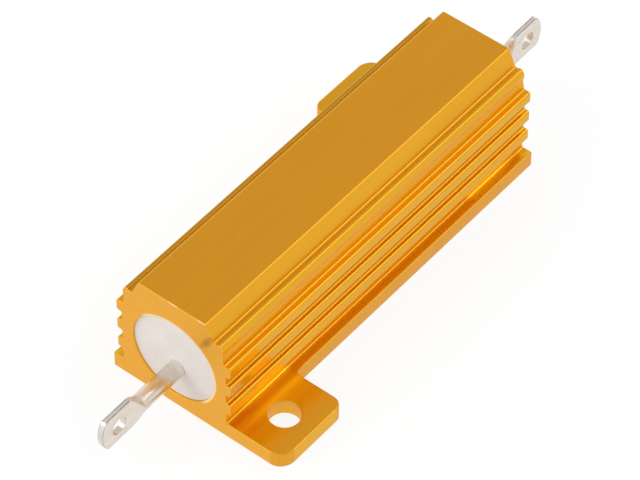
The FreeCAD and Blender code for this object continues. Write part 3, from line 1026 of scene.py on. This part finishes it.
class OBJECT_OT_resistor_housing(bpy.types.Operator):
    """Build the finned housing with its two feet"""
    bl_idname = "object.resistor_housing"
    bl_label = "Housing"

    def execute(self, context):
        finish, shape, _ = settings()
        materials = [make(finish) for make in (extruded_gold, sawn_gold, punched_gold, drilled_gold)]
        skin = housing_skin(shape.cut_rounding / MM)
        piece = skin.piece("finned_housing", "gold_anodised", materials)
        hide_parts("housing")
        return {"FINISHED"}


class OBJECT_OT_resistor_cement(bpy.types.Operator):
    """Build the cement potting in the bore"""
    bl_idname = "object.resistor_cement"
    bl_label = "Cement potting"

    def execute(self, context):
        finish, shape, _ = settings()
        skin = cement_skin(shape.creep_up_lead / MM, shape.creep_up_bore / MM)
        piece = skin.piece("cement_potting", "cement", [potting(finish)])
        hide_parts("cement_filling")
        return {"FINISHED"}


class OBJECT_OT_resistor_lugs(bpy.types.Operator):
    """Build the two tinned solder lugs"""
    bl_idname = "object.resistor_lugs"
    bl_label = "Solder lugs"

    def execute(self, context):
        finish, _, _ = settings()
        materials = [tin(finish), tin_shaded_edge(finish)]
        skin = lug_skin()
        far = skin.piece("solder_lug_far", "tinned", materials, settled)
        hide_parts("terminal_far")
        near = skin.piece("solder_lug_near", "tinned", materials,
                          lambda points: settled(points * HALF_TURN))
        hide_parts("terminal_near")
        return {"FINISHED"}


class OBJECT_OT_resistor_element(bpy.types.Operator):
    """Give the wound element inside its own finishes"""
    bl_idname = "object.resistor_element"
    bl_label = "Wound element"

    def execute(self, context):
        caps = cap_steel()
        dressed = {
            "ceramic_core": ceramic(),
            "resistance_winding": alloy(),
            "end_cap_near": caps,
            "end_cap_far": caps,
        }
        for node, material in dressed.items():
            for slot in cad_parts[node].material_slots:
                slot.material = material
        return {"FINISHED"}


# The floor's half width and level, and the point that the camera looks at, in metres
FLOOR_REACH = 3.0
FLOOR_LEVEL = -0.00003
VIEW_MIDDLE = (0.000146, -0.00151, 0.004923)


class OBJECT_OT_resistor_stage(bpy.types.Operator):
    """Set up the floor, the soft lamps, the room light and the camera"""
    bl_idname = "object.resistor_stage"
    bl_label = "Stage"

    def execute(self, context):
        _, _, stage = settings()
        self.floor()
        self.room(stage)
        self.lamp("key_lamp", (0.27, 0.37, 0.53), 0.4, stage.key_power)
        self.lamp("fill_lamp", (-0.34, -0.60, 0.43), 0.45, stage.fill_power)
        self.camera(stage)
        context.scene.view_settings.view_transform = "Standard"
        return {"FINISHED"}

    def floor(self):
        """A wide pale floor, white where it is seen and darker under the part."""
        material = bpy.data.materials.new("pale_floor")
        made = Nodes(material)
        made.tree.nodes.clear()
        plain = made.node("ShaderNodeBsdfDiffuse", {"Color": (0.80, 0.80, 0.80, 1.0)})
        shaded = made.node("ShaderNodeBsdfDiffuse", {"Color": (0.16, 0.16, 0.16, 1.0)})
        white = made.node("ShaderNodeEmission", {"Strength": 0.86})
        both = made.node("ShaderNodeAddShader", {0: shaded.outputs[0], 1: white.outputs[0]})
        made.chosen(plain, both, "ShaderNodeOutputMaterial")
        mesh = bpy.data.meshes.new("floor")
        corners = [(x * FLOOR_REACH, y * FLOOR_REACH, FLOOR_LEVEL)
                   for x, y in ((-1, -1), (1, -1), (1, 1), (-1, 1))]
        mesh.from_pydata(corners, [], [(0, 1, 2, 3)])
        mesh.materials.append(material)
        placed("floor", mesh)

    def room(self, stage):
        """An even room: white at the horizon where it is seen, and dimmer overhead."""
        world = bpy.data.worlds.new("room")
        bpy.context.scene.world = world
        made = Nodes(world)
        made.tree.nodes.clear()
        white = (1.0, 1.0, 1.0, 1.0)
        even = made.node("ShaderNodeBackground", {"Color": white, "Strength": stage.sky})
        way = made.node("ShaderNodeTexCoord", {}).outputs["Generated"]
        upward = made.node("ShaderNodeSeparateXYZ", {0: way}).outputs["Z"]
        level = made.spread(upward, 0.1, 0.75, 1.0, stage.overhead)
        backdrop = made.node("ShaderNodeBackground", {"Color": white, "Strength": level})
        made.chosen(even, backdrop, "ShaderNodeOutputWorld")

    def lamp(self, name, place, size, power):
        """A square soft lamp that faces the part."""
        light = bpy.data.lights.new(name, "AREA")
        light.size = size
        light.energy = power
        lamp = placed(name, light)
        lamp.location = place
        lamp.rotation_euler = Vector(place).to_track_quat("Z", "Y").to_euler()

    def camera(self, stage):
        """A long lens that looks at the middle of the part, leaned a little."""
        turn, climb, lean = stage.azimuth, stage.elevation, stage.roll
        level = math.cos(climb)
        back = Vector((math.sin(turn) * level, -math.cos(turn) * level, math.sin(climb)))
        right = Vector((math.cos(turn), math.sin(turn), 0.0))
        upward = back.cross(right)
        axes = Matrix((
            math.cos(lean) * right + math.sin(lean) * upward,
            math.cos(lean) * upward - math.sin(lean) * right,
            back,
        ))
        place = Vector(VIEW_MIDDLE) + back * stage.distance
        data = bpy.data.cameras.new("camera")
        data.lens = stage.lens
        data.sensor_width = 36.0
        camera = placed("camera", data)
        camera.matrix_world = Matrix.Translation(place) @ axes.transposed().to_4x4()
        bpy.context.scene.camera = camera


OPERATORS = (
    OBJECT_OT_resistor_housing,
    OBJECT_OT_resistor_cement,
    OBJECT_OT_resistor_lugs,
    OBJECT_OT_resistor_element,
    OBJECT_OT_resistor_stage,
)


class VIEW3D_PT_resistor(bpy.types.Panel):
    """Lists the resistor's pieces"""
    bl_label = "Resistor"
    bl_idname = "VIEW3D_PT_resistor"
    bl_space_type = "VIEW_3D"
    bl_region_type = "UI"
    bl_category = "Resistor"

    def draw(self, context):
        layout = self.layout
        for group in settings():
            box = layout.box()
            for name in group.bl_rna.properties.keys():
                if name not in ("rna_type", "name"):
                    box.prop(group, name)
        for operator in OPERATORS:
            layout.operator(operator.bl_idname)


CLASSES = (ResistorFinish, ResistorShape, ResistorStage, *OPERATORS, VIEW3D_PT_resistor)


def register():
    for cls in CLASSES:
        bpy.utils.register_class(cls)
    bpy.types.Scene.resistor_finish = PointerProperty(type=ResistorFinish)
    bpy.types.Scene.resistor_shape = PointerProperty(type=ResistorShape)
    bpy.types.Scene.resistor_stage = PointerProperty(type=ResistorStage)


def unregister():
    del bpy.types.Scene.resistor_stage
    del bpy.types.Scene.resistor_shape
    del bpy.types.Scene.resistor_finish
    for cls in reversed(CLASSES):
        bpy.utils.unregister_class(cls)


def main():
    register()
    bpy.ops.object.resistor_housing()
    bpy.ops.object.resistor_cement()
    bpy.ops.object.resistor_lugs()
    bpy.ops.object.resistor_element()
    bpy.ops.object.resistor_stage()


if __name__ == "__main__":
    main()
